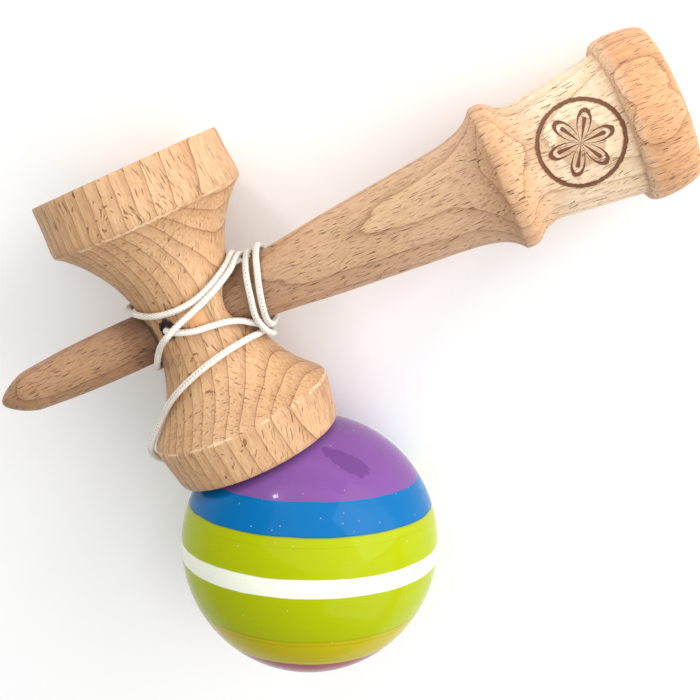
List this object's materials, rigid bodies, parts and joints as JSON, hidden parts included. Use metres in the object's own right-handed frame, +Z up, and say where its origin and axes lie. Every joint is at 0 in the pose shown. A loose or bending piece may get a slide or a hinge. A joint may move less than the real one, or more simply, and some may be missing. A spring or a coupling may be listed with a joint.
{
  "type": "kendama",
  "caption": "Wooden kendama at rest on its side: a spiked handle with a base cup, a crosspiece with a large and a small cup, and a striped ball on a wound string.",
  "frame": {"origin": "on the table, centred under the resting toy", "axes": "+X along the handle from the spike to the base cup, +Y towards the big cup, +Z up"},
  "size_m": [0.163, 0.1272, 0.06],
  "materials": {
    "handle_wood": "bare beech with short dark pores along the grain, a little soiled by handling",
    "cup_wood": "bare beech, turned, with open end grain in the cups' flares",
    "lacquer": "glossy lacquer in bands of purple, blue, lime, white, mustard and magenta over turned beech",
    "bead": "bare turned bead",
    "string": "white braided cord"
  },
  "bodies": {
    "ken": {"ken": "handle_wood"},
    "sarado": {"sarado": "cup_wood", "string": "string", "sarado_knot": "string"},
    "string_end": {"bead": "bead", "bead_knot": "string"},
    "tama": {"tama": "lacquer"}
  },
  "joints": [
    {"name": "sarado_slide", "type": "slide", "parent": "ken", "child": "sarado", "axis": [-0.9979, 0, 0.0653], "range_m": [0, 0.065]},
    {"name": "string_slack", "type": "slide", "parent": "sarado", "child": "string_end", "axis": [-0.0169, -0.9958, 0.0899], "range_m": [0, 0.01], "deforming": ["string"]},
    {"name": "tama_spin", "type": "hinge", "parent": "string_end", "child": "tama", "pos_m": [-0.03061, -0.0336, 0.03], "axis": [0.4194, 0.8803, -0.2216], "continuous": true}
  ]
}
